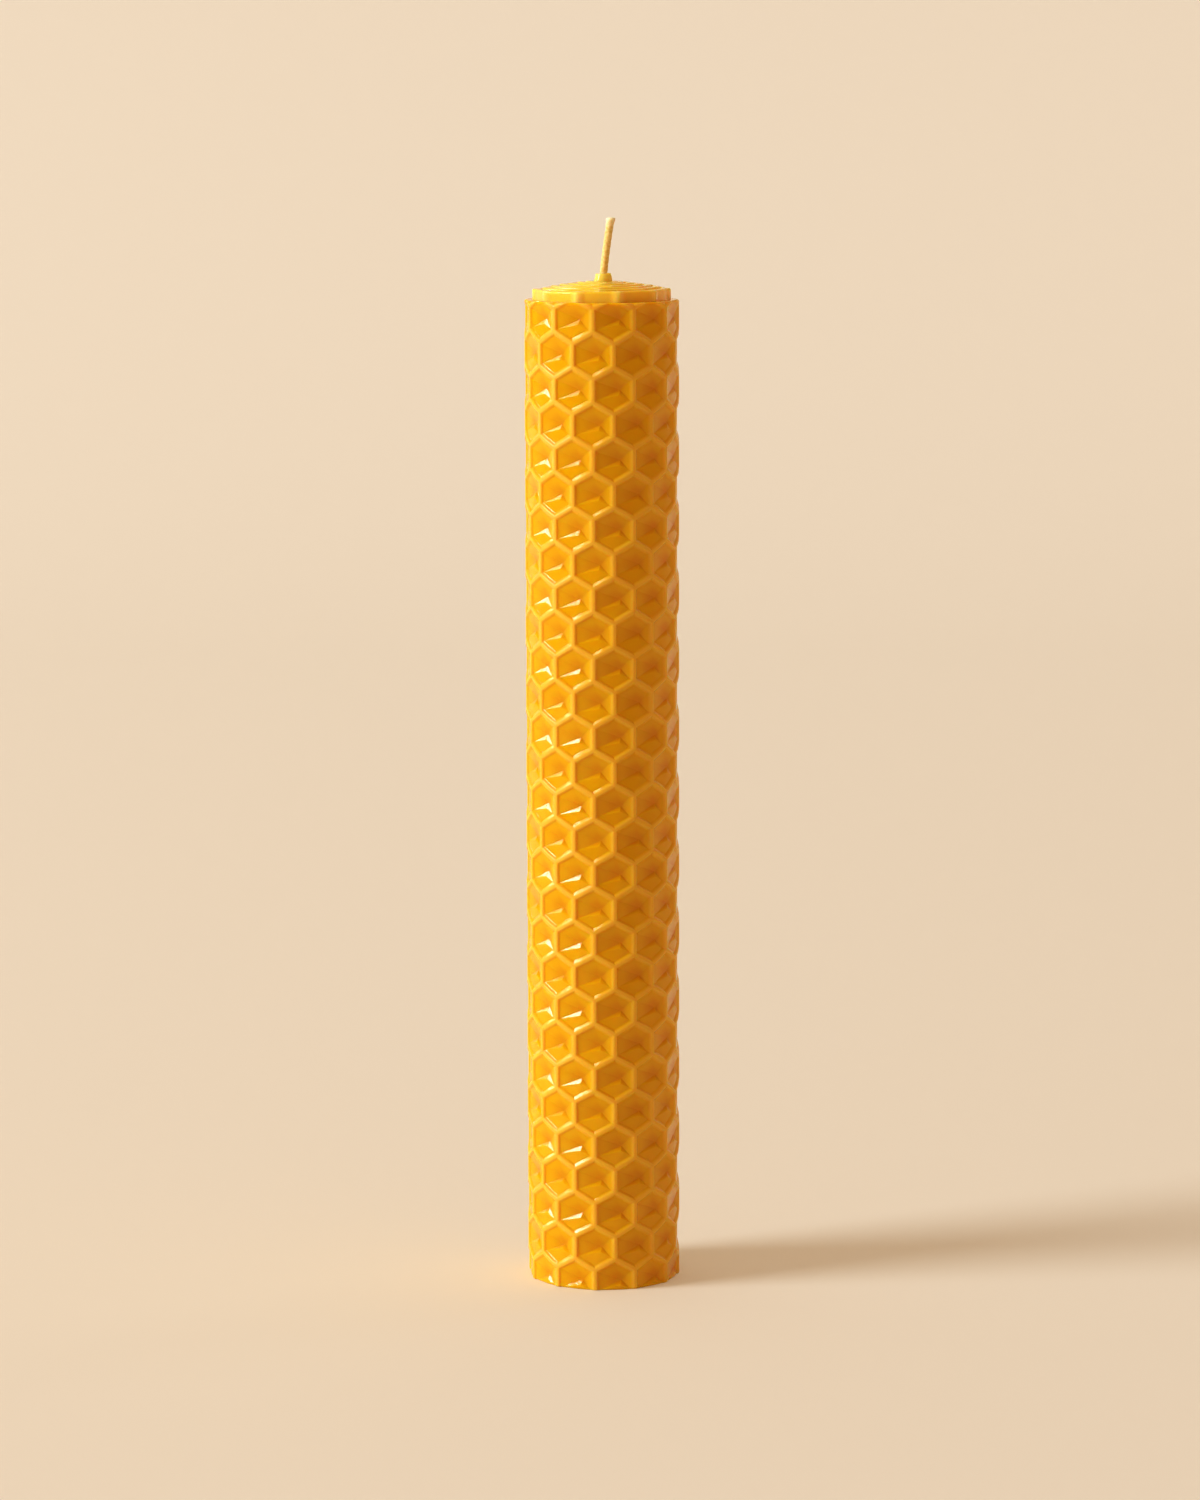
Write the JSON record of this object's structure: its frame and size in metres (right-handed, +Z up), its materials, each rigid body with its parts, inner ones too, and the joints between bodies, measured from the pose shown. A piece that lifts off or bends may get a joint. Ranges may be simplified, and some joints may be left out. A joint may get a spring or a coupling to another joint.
{
  "type": "rolled beeswax candle",
  "caption": "Slim pillar candle rolled from two honeycomb-embossed wax sheets round a cotton wick, with a domed core standing just proud of the outer sheet.",
  "frame": {"origin": "middle of the candle's bounding box, on the plane of its flat base", "axes": "+Z up along the candle towards the wick, -Y towards the picture's camera, +X to the camera's right"},
  "size_m": [0.021, 0.0216, 0.1455],
  "materials": {
    "wick_cotton": "waxed braided cotton, pale straw yellow",
    "core_wax": "translucent beeswax, satin",
    "outer_wax": "translucent beeswax, satin, soft gloss on the cell walls"
  },
  "bodies": {
    "root": {"wick": "wick_cotton", "core_sheet": "core_wax", "outer_sheet": "outer_wax"}
  },
  "joints": []
}
